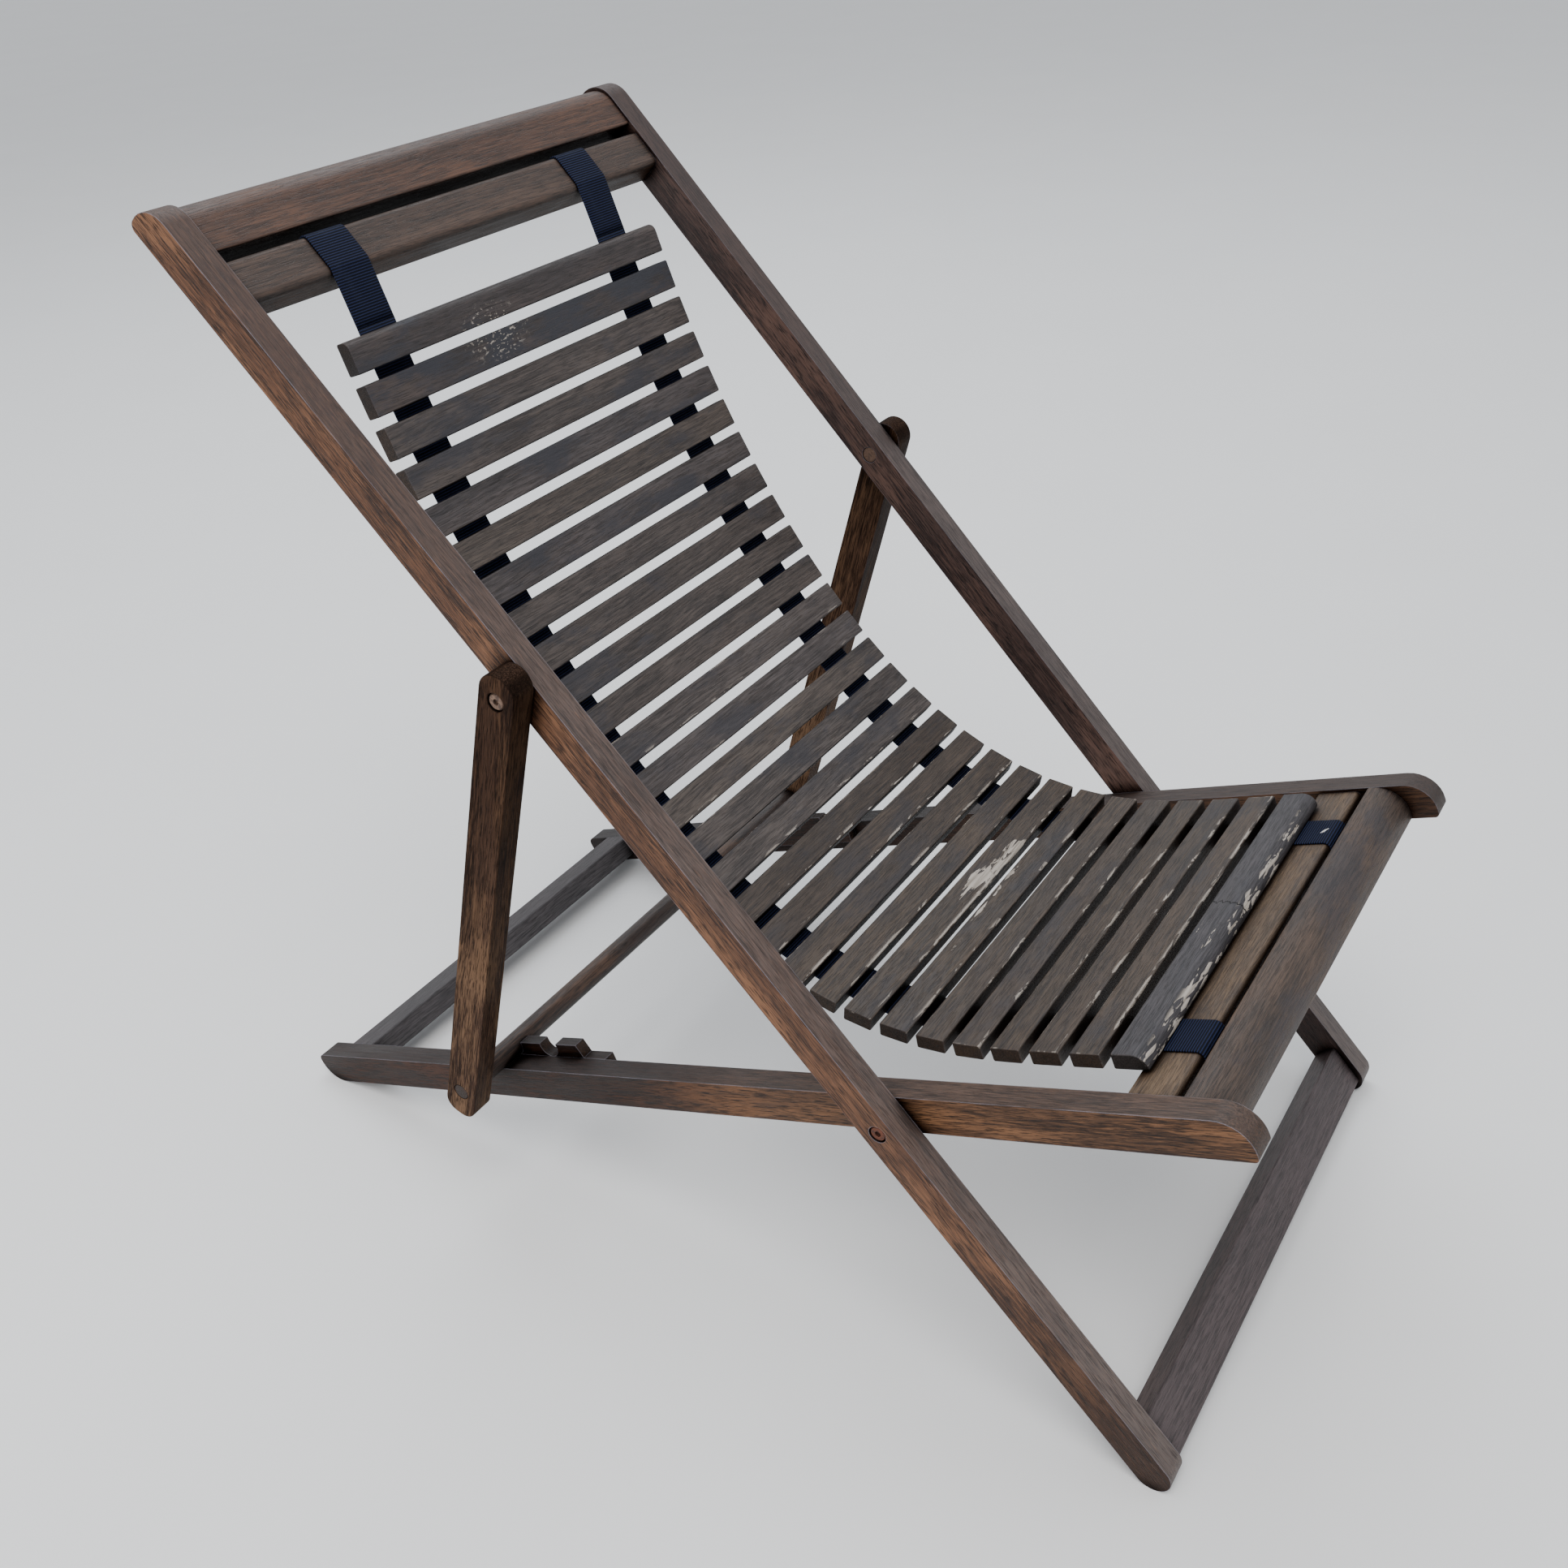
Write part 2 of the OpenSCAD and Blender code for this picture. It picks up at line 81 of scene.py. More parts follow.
# ---------------------------------------------------------------- node helpers
class Tree:
    """Short calls for building one material's nodes."""

    def __init__(self, name):
        self.mat = bpy.data.materials.new(name)
        self.mat.use_nodes = True
        self.nt = self.mat.node_tree
        self.nt.nodes.clear()
        self.out = self.add("ShaderNodeOutputMaterial")

    def add(self, kind, **props):
        n = self.nt.nodes.new(kind)
        for k, v in props.items():
            setattr(n, k, v)
        return n

    def put(self, socket, value):
        """Link a socket to the input, or set a plain value on it."""
        if isinstance(value, bpy.types.NodeSocket):
            self.nt.links.new(value, socket)
        else:
            socket.default_value = value

    def math(self, op, a, b=0.0, clamp=False):
        n = self.add("ShaderNodeMath", operation=op, use_clamp=clamp)
        self.put(n.inputs[0], a)
        self.put(n.inputs[1], b)
        return n.outputs[0]

    def times(self, a, b, clamp=False):
        return self.math("MULTIPLY", a, b, clamp)

    def plus(self, a, b, clamp=False):
        return self.math("ADD", a, b, clamp)

    def minus(self, a, b):
        return self.math("SUBTRACT", a, b)

    def vmath(self, op, a, b=(0, 0, 0)):
        n = self.add("ShaderNodeVectorMath", operation=op)
        self.put(n.inputs[0], a)
        self.put(n.inputs[1], b)
        return n.outputs["Value"] if op in ("DOT_PRODUCT", "LENGTH") else n.outputs["Vector"]

    def dot(self, a, b):
        return self.vmath("DOT_PRODUCT", a, b)

    def scaled(self, vec, factors):
        return self.vmath("MULTIPLY", vec, factors)

    def vector(self, x, y, z):
        n = self.add("ShaderNodeCombineXYZ")
        for k, v in enumerate((x, y, z)):
            self.put(n.inputs[k], v)
        return n.outputs[0]

    def axis(self, vec, k):
        """One of a vector's three numbers."""
        n = self.add("ShaderNodeSeparateXYZ")
        self.put(n.inputs[0], vec)
        return n.outputs[k]

    def mix(self, fac, a, b, mode="MIX"):
        n = self.add("ShaderNodeMix", data_type="RGBA", blend_type=mode)
        n.clamp_factor = True
        self.put(n.inputs["Factor"], fac)
        self.put(n.inputs[6], a if isinstance(a, bpy.types.NodeSocket) else (*a, 1))
        self.put(n.inputs[7], b if isinstance(b, bpy.types.NodeSocket) else (*b, 1))
        return n.outputs[2]

    def step(self, value, lo, hi, a=0.0, b=1.0):
        """A smooth step from a, below lo, to b, above hi."""
        n = self.add("ShaderNodeMapRange", interpolation_type="SMOOTHSTEP")
        for k, v in zip(("Value", "From Min", "From Max", "To Min", "To Max"), (value, lo, hi, a, b)):
            self.put(n.inputs[k], v)
        return n.outputs["Result"]

    def noise(self, vec, scale, detail=3.0, rough=0.55, twist=0.0):
        """Noise at one scale, or stretched by three of them."""
        if isinstance(scale, tuple):
            vec = self.scaled(vec, scale)
            scale = 1.0
        n = self.add("ShaderNodeTexNoise")
        self.put(n.inputs["Vector"], vec)
        for k, v in (("Scale", scale), ("Detail", detail), ("Roughness", rough), ("Distortion", twist)):
            self.put(n.inputs[k], v)
        return n.outputs["Fac"]

    def cells(self, vec, scale):
        """A random value for each cell of a broken-up surface."""
        n = self.add("ShaderNodeTexVoronoi")
        self.put(n.inputs["Vector"], self.scaled(vec, scale))
        n.inputs["Scale"].default_value = 1.0
        parts = self.add("ShaderNodeSeparateColor")
        self.put(parts.inputs[0], n.outputs["Color"])
        return parts.outputs[0]

    def blend(self, *pairs):
        """Weighted sum of values."""
        out = None
        for value, weight in pairs:
            part = self.times(value, weight)
            out = part if out is None else self.plus(out, part)
        return out

    def bump(self, height, strength, distance):
        n = self.add("ShaderNodeBump")
        self.put(n.inputs["Height"], height)
        n.inputs["Strength"].default_value = strength
        n.inputs["Distance"].default_value = distance
        return n.outputs["Normal"]

    def shader(self, **values):
        """The surface. An underscore in a name stands for a space in the socket's name."""
        b = self.add("ShaderNodeBsdfPrincipled")
        for k, v in values.items():
            self.put(b.inputs[k.replace("_", " ")], v)
        self.put(self.out.inputs["Surface"], b.outputs[0])


# ---------------------------------------------------------------- wood
# directions: the lounger faces -Y
SKYWARD = (0.0, -0.50, 0.866)
GROUNDWARD = (0.0, -0.25, -0.97)
FORWARD = (0, -1, 0)
UPWARD = (0, 0, 1)
X, Y, Z = range(3)

# the grain's noises: features in a metre along and across the board, detail, roughness
GRAIN = {
    "broad": ((2.5, 60, 60), 3.0, 0.60),
    "streak": ((16, 380, 380), 4.0, 0.65),
    "fine": ((45, 780, 780), 4.0, 0.70),
    "fibre": ((60, 1300, 1300), 3.0, 0.60),
    "fleck": ((62, 980, 980), 3.0, 0.55),
    "blotch": ((7, 26, 26), 4.0, 0.60),
    "pore": ((5, 330, 330), 2.0, 0.50),
    "cloud": ((9, 22, 22), 5.0, 0.65),
    "rays": ((400, 900, 900), 3.0, 0.55),
    "scuff": ((20, 130, 130), 5.0, 0.65),
    "sway": ((3.0, 12.0, 12.0), 2.0, 0.55),
}
PIECE_SHIFT = (7.3, 3.1, 5.7)
SWAY_Y, SWAY_Z = 0.012, 0.010

# broken varnish: where it breaks, its grit, its cells and the width of its border
CHIPS = dict(zone=(9, 40, 40), grit=(70, 260, 260), cell=(60, 330, 330), twist=0.0, border=0.008)
FLAKES = dict(zone=(8, 30, 30), grit=(70, 300, 300), cell=(48, 340, 340), twist=0.4, border=0.006)
SPECK_GRIT = (260, 480, 480)

ARRIS = 1.3 * MM
CHIPPED_ARRIS = 4.5 * MM
# reach of the painted shade in gaps and corners
CREVICE_SHADE_REACH = 18 * MM
WOOD_RELIEF = 0.40 * MM
SPLIT_WANDER = 0.016
SPLIT_EDGE, SPLIT_END = 0.3 * MM, 1.2 * MM

# colours that every board shares
DULL_DARK = (0.022, 0.018, 0.018)
DULL_LIGHT = (0.040, 0.033, 0.031)
# painted shade and painted light on the grey of long stiles, towards the top and near the ground
SHADED_GREY = (0.036, 0.0225, 0.0200)
PAINTED_LIGHT_GREY = (0.190, 0.150, 0.135)
BLUE_BLACK = (0.022, 0.023, 0.031)
# a painted highlight along the arrises
PAINTED_HIGHLIGHT = (0.235, 0.222, 0.262)
BARE_DARK = (0.25, 0.215, 0.180)
BARE_LIGHT = (0.45, 0.405, 0.360)
SPLIT_BLACK = (0.004, 0.003, 0.003)
# and tints that multiply what is under them
PORE_TINT = (0.42, 0.39, 0.39)
# darker towards the seat stiles' rear: partly a moisture stain, partly painted shade
REAR_STAIN_AND_SHADE_TINT = (0.26, 0.20, 0.20)
# painted shade towards the top of the legs
TOP_SHADE_TINT = (0.50, 0.46, 0.44)
# painted shade in gaps and corners
CREVICE_SHADE_TINT = (0.09, 0.075, 0.075)


class Wood(Tree):
    """Stained hardwood with its grain along X, or along a member that leans by lean in the side view.

    dark, mid and warm are the stain. grey and tint are the weathered grey of faces towards the sky, which
    also stands for a painted sky reflection on them. The numbers after tint, up to lined, say how strong each
    effect is; among them are the painted highlight along the arrises and the painted shade on undersides. The
    stretch along Y darkens towards the rear, partly a moisture stain and partly painted shade, and the
    stretch along Z is painted shade towards the top. chip_at and flake_at are where a noise breaks the
    varnish, and speck_at, hot and crack_x are places.
    """

    def __init__(self, name, lean=None, seed=0.0,
                 dark=(0.022, 0.011, 0.006), mid=(0.062, 0.028, 0.014), warm=(0.125, 0.054, 0.021),
                 grey=(0.100, 0.084, 0.080), tint=None,
                 weather_and_sky_sheen=0.6, flecks=0.7, arris_glint=0.5, under=0.35, gloss=0.45, stain=0.0, lined=0.8,
                 tall=False, rear_stain_and_shade=None, top_shade=None,
                 chip_at=None, flake_at=None, speck_at=None, hot=None, crack_x=None):
        super().__init__(name)
        coords = self.add("ShaderNodeTexCoord")
        self.pos = coords.outputs["Object"]
        self.nrm = coords.outputs["Normal"]
        self.up = self.dot(self.nrm, SKYWARD)
        self.dark = dark
        self.warm = warm
        self.board = self.board_space(lean, seed)
        self.streak = self.grain("streak")
        self.fine = self.grain("fine")
        self.fibre = self.grain("fibre")
        self.blotch = self.grain("blotch")
        self.fleck = self.step(self.grain("fleck"), 0.52, 0.60)

        self.col = self.stained(mid)
        sky = self.facing_sky(weather_and_sky_sheen)
        silver = self.silver(grey, tint)
        # long stiles: painted shade and painted light on their grey by height, and darker at the very foot
        if tall:
            silver = self.silver_by_height(silver)
            self.paint(self.step(self.axis(self.pos, Z), 0.03, 0.20, 0.8, 0.0), shade(dark, 0.7))
        # the weathered grey on faces towards the sky, which is also a painted sky reflection
        self.paint(sky, silver)
        self.open_grain(lined)
        self.flecked(flecks)
        if stain:
            self.damp_patches(stain)
        # painted shade on faces turned towards the ground
        self.shade_below(under)
        # darker towards the rear: partly a moisture stain, partly painted shade
        if rear_stain_and_shade is not None:
            self.darker_along(Y, rear_stain_and_shade, 0.15, REAR_STAIN_AND_SHADE_TINT)
        # painted shade towards the top
        if top_shade is not None:
            self.darker_along(Z, top_shade, 0.20, TOP_SHADE_TINT)
        self.end_grain(lean, mid)
        # painted shade in gaps and corners, from ambient occlusion
        crevice_shade = self.crevice_shade()
        self.paint(crevice_shade, CREVICE_SHADE_TINT, "MULTIPLY")
        # a painted highlight along the arrises
        glint = self.painted_arris_highlight(arris_glint)
        self.paint(glint, PAINTED_HIGHLIGHT)
        self.rough = self.sheen(sky, glint)
        self.height = self.blend((self.streak, 0.40), (self.fibre, 0.30))
        self.sink(self.fleck, 0.35)

        masks = self.broken_varnish(chip_at, flake_at, hot, nosing=crack_x is not None)
        if speck_at is not None:
            masks.append(self.specks(speck_at))
        if masks:
            self.bare_wood(masks)
        if crack_x is not None:
            split = self.crack(crack_x)
            self.paint(split, SPLIT_BLACK)
            self.sink(split, 2.0)
        shine = self.step(self.up, -0.35, 0.6, min(0.08, gloss), gloss)
        unshaded = self.minus(1.0, self.times(crevice_shade, 0.9))
        self.shader(Base_Color=self.col, Roughness=self.rough, Specular_IOR_Level=self.times(shine, unshaded),
                    Normal=self.bump(self.height, 0.8, WOOD_RELIEF))

    def paint(self, mask, colour, mode="MIX"):
        """Lay a colour over what is there so far."""
        self.col = self.mix(mask, self.col, colour, mode)

    def sink(self, mask, depth):
        self.height = self.minus(self.height, self.times(mask, depth))

    def board_space(self, lean, seed):
        """Position with X along the grain and a slow wave, each piece from another place in the tree."""
        vec = self.pos
        if lean is not None:
            turned = self.add("ShaderNodeVectorRotate", rotation_type="X_AXIS")
            self.put(turned.inputs["Vector"], vec)
            turned.inputs["Angle"].default_value = lean
            x, y, z = (self.axis(turned.outputs[0], k) for k in (X, Y, Z))
            vec = self.vector(y, x, z)
        piece = self.add("ShaderNodeObjectInfo").outputs["Random"]
        shift = self.vector(*(self.plus(self.times(piece, s), seed) for s in PIECE_SHIFT))
        vec = self.vmath("ADD", vec, shift)
        sway = self.grain("sway", vec)
        return self.vmath("ADD", vec, self.vector(0.0, self.times(sway, SWAY_Y), self.times(sway, SWAY_Z)))

    def grain(self, kind, vec=None):
        scale, detail, rough = GRAIN[kind]
        return self.noise(self.board if vec is None else vec, scale, detail, rough)

    def stained(self, mid):
        """The stain follows the grain, from dark to mid, and is warm in places."""
        tone = self.blend((self.grain("broad"), 0.35), (self.streak, 0.30), (self.fine, 0.35))
        glow = self.blend((self.blotch, 0.60), (self.streak, 0.20), (self.fine, 0.20))
        col = self.mix(self.step(tone, 0.41, 0.57), self.dark, mid)
        return self.mix(self.step(glow, 0.46, 0.60), col, self.warm)

    def facing_sky(self, weather_and_sky_sheen):
        """Faces towards the sky, where the oil has gone and the wood turned grey; the same grey is also a
        painted sky reflection on them.
        """
        patch = self.blend((self.blotch, 0.55), (self.fibre, 0.45))
        sky = self.times(self.step(self.up, 0.10, 0.75), self.step(patch, 0.34, 0.60, 0.55, 1.0))
        return self.times(sky, weather_and_sky_sheen, clamp=True)

    def silver(self, grey, tint):
        """The weathered grey, which also serves as the painted sky reflection. With a tint it varies from
        piece to piece.
        """
        dull = shade(grey, 0.45)
        if tint is not None:
            grey = self.mix(self.add("ShaderNodeObjectInfo").outputs["Random"], grey, tint)
            dull = self.mix(self.step(self.blotch, 0.3, 0.7), DULL_DARK, DULL_LIGHT)
        return self.mix(self.step(self.blend((self.streak, 0.5), (self.fine, 0.5)), 0.34, 0.62), dull, grey)

    def silver_by_height(self, silver):
        """On a long stile: painted shade on the grey towards its top, and painted light on it near the
        ground.
        """
        z = self.axis(self.pos, Z)
        silver = self.mix(self.step(z, 0.45, 0.85, 0.0, 0.9), silver, SHADED_GREY)
        return self.mix(self.step(z, 0.05, 0.35, 0.5, 0.0), silver, PAINTED_LIGHT_GREY)

    def open_grain(self, lined):
        """Thin dark lines of open grain, thicker in some places than in others."""
        off_line = self.math("ABSOLUTE", self.minus(self.grain("pore"), 0.5))
        patchy = self.step(self.streak, 0.40, 0.60, 0.35, 1.0)
        self.paint(self.times(self.step(off_line, 0.004, 0.030, lined, 0.0), patchy), PORE_TINT, "MULTIPLY")

    def flecked(self, flecks):
        """Short dark flecks, fainter on the top faces, and pale fibres between them."""
        fade = self.step(self.up, 0.0, 0.8, flecks, flecks * 0.6)
        self.paint(self.times(self.fleck, fade), shade(self.dark, 0.30))
        self.paint(self.step(self.fibre, 0.56, 0.72, 0.0, 0.30), shade(self.warm, 1.5))

    def damp_patches(self, stain):
        """Damp has left bluish black patches."""
        cloud = self.blend((self.grain("cloud"), 0.8), (self.fine, 0.2))
        self.paint(self.step(cloud, 0.50, 0.62, 0.0, stain), BLUE_BLACK)

    def shade_below(self, under):
        """Painted shade on the faces turned towards the ground."""
        below = self.step(self.dot(self.nrm, GROUNDWARD), 0.0, 0.55, 0.0, 1.0 - under)
        self.paint(below, shade(self.dark, 0.30))

    def darker_along(self, axis, stretch, ragged, tint):
        """Darker towards one end of a member, with a ragged border."""
        place = self.plus(self.axis(self.pos, axis), self.times(self.blotch, ragged))
        self.paint(self.step(place, *stretch), tint, "MULTIPLY")

    def end_grain(self, lean, mid):
        """Cut ends drink more stain."""
        along = (1, 0, 0) if lean is None else (0, -math.cos(lean), math.sin(lean))
        end = self.step(self.math("ABSOLUTE", self.dot(self.nrm, along)), 0.80, 0.95, 0.0, 0.75)
        rays = self.step(self.grain("rays"), 0.4, 0.65)
        self.paint(end, self.mix(rays, shade(self.dark, 0.5), shade(mid, 0.7)))

    def crevice_shade(self):
        """Painted shade in the gaps and corners, from ambient occlusion: 1 there, 0 in the open."""
        shut_in = self.add("ShaderNodeAmbientOcclusion", samples=6)
        shut_in.inputs["Distance"].default_value = CREVICE_SHADE_REACH
        return self.step(shut_in.outputs["AO"], 0.50, 0.95, 1.0, 0.0)

    def flat_normal(self):
        return self.add("ShaderNodeNewGeometry").outputs["Normal"]

    def round_normal(self, radius):
        n = self.add("ShaderNodeBevel", samples=6)
        n.inputs["Radius"].default_value = radius
        return n.outputs[0]

    def painted_arris_highlight(self, arris_glint):
        """A painted highlight along the arrises: a thin, broken, pale line."""
        edge = self.minus(1.0, self.dot(self.round_normal(ARRIS), self.flat_normal()))
        broken = self.step(self.grain("scuff"), 0.34, 0.58, 0.25, 1.0)
        return self.times(self.times(self.step(edge, 0.02, 0.16), broken), arris_glint, clamp=True)

    def sheen(self, sky, glint):
        """Roughness: patchy, and a little higher on the grey upward faces and under the painted arris
        highlight.
        """
        oil = self.step(self.blend((self.blotch, 0.5), (self.streak, 0.5)), 0.35, 0.65, 0.40, 0.58)
        return self.plus(oil, self.times(self.plus(sky, glint), 0.08))

    def near(self, point, squeeze, inner, outer, most):
        """most close to a point and 0 away from it. squeeze makes the place longer along X."""
        away = self.scaled(self.vmath("SUBTRACT", self.pos, tuple(point)), (squeeze, 1, 1))
        return self.step(self.vmath("LENGTH", away), inner, outer, most, 0.0)

    def broken_varnish(self, chip_at, flake_at, hot, nosing):
        """Varnish gone in chips along the front arris and in flakes on the top face, more of it near hot."""
        masks = []
        more = 0.0 if hot is None else self.near(hot, 0.28, 0.006, 0.030, 0.27)
        if chip_at is not None:
            masks.append(self.times(self.front_arris(nosing), self.broken(chip_at, more, **CHIPS)))
        if flake_at is not None:
            masks.append(self.times(self.step(self.up, 0.3, 0.6), self.broken(flake_at, more, **FLAKES)))
        return masks

    def broken(self, limit, more, zone, grit, cell, twist, border):
        noises = self.blend((self.noise(self.pos, zone, 2.0, 0.5), 0.45),
                            (self.noise(self.pos, grit, 4.0, 0.6, twist), 0.30),
                            (self.cells(self.pos, cell), 0.25))
        return self.step(self.plus(noises, more), limit, limit + border)

    def front_arris(self, nosing):
        """The front top edge. On the round nosing it is read off the rounded normal alone."""
        arris = self.round_normal(CHIPPED_ARRIS)
        if nosing:
            ahead = self.step(self.dot(arris, FORWARD), 0.12, 0.45)
        else:
            turned = self.vmath("SUBTRACT", arris, self.flat_normal())
            ahead = self.step(self.dot(turned, FORWARD), 0.015, 0.08)
        return self.times(ahead, self.step(self.dot(arris, UPWARD), 0.20, 0.50))

    def specks(self, point):
        """A cluster of small pale specks on a top face."""
        place = self.times(self.near(point, 0.62, 0.010, 0.030, 1.0), self.step(self.up, 0.3, 0.6))
        return self.times(place, self.step(self.noise(self.pos, SPECK_GRIT, 3.0, 0.6), 0.585, 0.615))

    def bare_wood(self, masks):
        """Pale, rough, sunken wood wherever one of the masks is on."""
        bare = masks[0]
        for m in masks[1:]:
            bare = self.math("MAXIMUM", bare, m)
        self.paint(bare, self.mix(self.step(self.streak, 0.35, 0.65), BARE_DARK, BARE_LIGHT))
        self.rough = self.plus(self.rough, self.times(bare, 0.35), clamp=True)
        self.sink(bare, 0.9)

    def crack(self, x):
        """A thin jagged split across the board at x."""
        jag = self.noise(self.pos, (0.0, 260, 260))
        middle = self.plus(self.times(jag, SPLIT_WANDER), x - SPLIT_WANDER / 2)
        away = self.math("ABSOLUTE", self.minus(self.axis(self.pos, X), middle))
        return self.step(away, SPLIT_EDGE, SPLIT_END, 1.0, 0.0)


# ---------------------------------------------------------------- other materials
RUST_GRAIN, RUST_FINE = 240.0, 1600.0
RIB = 2.15 * MM
YARN_ROW = 1.25 * MM
# the colour between the ribs and rows is painted shade in the hollows
WEB_HOLLOW = (0.0012, 0.0018, 0.0048)
WEB_YARN = (0.0155, 0.0230, 0.0680)
WEB_DUST = (0.030, 0.036, 0.062)
THREAD_DARK = (0.42, 0.41, 0.42)
THREAD_LIGHT = (0.62, 0.61, 0.60)


def metal(name, base, rust, rough=0.42):
    """Metal that has tarnished in places."""
    t = Tree(name)
    pos = t.add("ShaderNodeTexCoord").outputs["Object"]
    n = t.noise(pos, RUST_GRAIN, 5.0, 0.6)
    fine = t.noise(pos, RUST_FINE, 3.0, 0.6)
    tarnish = t.step(n, 0.42, 0.62)
    t.shader(Base_Color=t.mix(tarnish, base, rust), Metallic=t.step(tarnish, 0.0, 1.0, 0.92, 0.45),
             Roughness=t.step(n, 0.35, 0.65, rough, rough + 0.28), Normal=t.bump(fine, 0.4, 0.12 * MM))
    return t.mat


def webbing(name):
    """Tight polypropylene webbing: cross ribs with fine lengthwise rows of yarn. UV is in metres."""
    t = Tree(name)
    uv = t.add("ShaderNodeTexCoord").outputs["UV"]
    turn = 2 * math.pi
    row = t.math("SINE", t.times(t.axis(uv, Y), turn / YARN_ROW))
    wobble = t.times(t.noise(uv, (300, 500, 1), 2.0), 1.3)
    rib = t.math("SINE", t.plus(t.times(t.axis(uv, X), turn / RIB), wobble))
    yarn = t.times(t.step(rib, -0.2, 0.9), t.step(row, -1.0, 0.6, 0.55, 1.0))
    fuzz = t.noise(uv, (1400, 1400, 1), 3.0, 0.6)
    dust = t.noise(uv, (30, 45, 1), 5.0, 0.6)
    # the yarn's hollows get painted shade
    col = t.mix(t.step(dust, 0.48, 0.75, 0.0, 0.12), t.mix(yarn, WEB_HOLLOW, WEB_YARN), WEB_DUST)
    height = t.blend((yarn, 0.8), (fuzz, 0.15))
    t.shader(Base_Color=col, Roughness=t.step(fuzz, 0.3, 0.7, 0.55, 0.75), Specular_IOR_Level=0.12,
             Normal=t.bump(height, 0.8, 0.45 * MM))
    return t.mat


def cotton(name):
    """Pale sewing thread."""
    t = Tree(name)
    n = t.noise(t.add("ShaderNodeTexCoord").outputs["Object"], 2400.0)
    t.shader(Base_Color=t.mix(n, THREAD_DARK, THREAD_LIGHT), Roughness=0.8, Normal=t.bump(n, 0.5, 0.1 * MM))
    return t.mat


# ---------------------------------------------------------------- the lounger's woods
def corners(box):
    """A box's low and high corners, as vectors."""
    lo, hi = (Vector(v) for v in box)
    return lo, hi


bar_lo, bar_hi = corners(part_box("prop_bar"))
bar_mid = (bar_lo + bar_hi) / 2
LEG_ANGLE = math.atan2(PROP_PIVOT.z - bar_mid.z, bar_mid.y - PROP_PIVOT.y)
speck_lo, speck_hi = corners(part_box("slat_02"))
SPECKS = Vector((-0.045, (speck_lo.y + speck_hi.y) / 2, speck_hi.z))
hot_lo, hot_hi = corners(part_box("slat_21"))
HOT = Vector((0.020, hot_lo.y + 3 * MM, hot_hi.z))

SLAT = dict(dark=(0.0165, 0.0105, 0.0083), mid=(0.047, 0.0305, 0.0220), warm=(0.084, 0.053, 0.035),
            grey=(0.100, 0.082, 0.069), tint=(0.078, 0.074, 0.083))
BROWN = dict(SLAT, mid=(0.044, 0.0265, 0.0165), warm=(0.080, 0.047, 0.027), grey=(0.082, 0.062, 0.046),
             tint=(0.068, 0.054, 0.045))
MIDDLE = dict(SLAT, mid=(0.056, 0.037, 0.027), grey=(0.116, 0.096, 0.081), tint=(0.092, 0.087, 0.096))
BLUISH = dict(SLAT, mid=(0.034, 0.024, 0.0200), warm=(0.074, 0.046, 0.032), grey=(0.064, 0.057, 0.060),
              tint=(0.056, 0.053, 0.064))
NOSE = dict(dark=(0.010, 0.008, 0.008), mid=(0.032, 0.025, 0.0235), warm=(0.060, 0.045, 0.038),
            grey=(0.072, 0.068, 0.077))
STILE_GREY = (0.112, 0.092, 0.086)
# the seat stiles are darker towards the rear, partly a moisture stain and partly painted shade,
# and the legs darker towards the top, which is painted shade
REAR_STAIN_AND_SHADE = (-0.05, 0.16)
SHADY_TOP = (0.36, 0.62)
SPLIT_X = 0.012

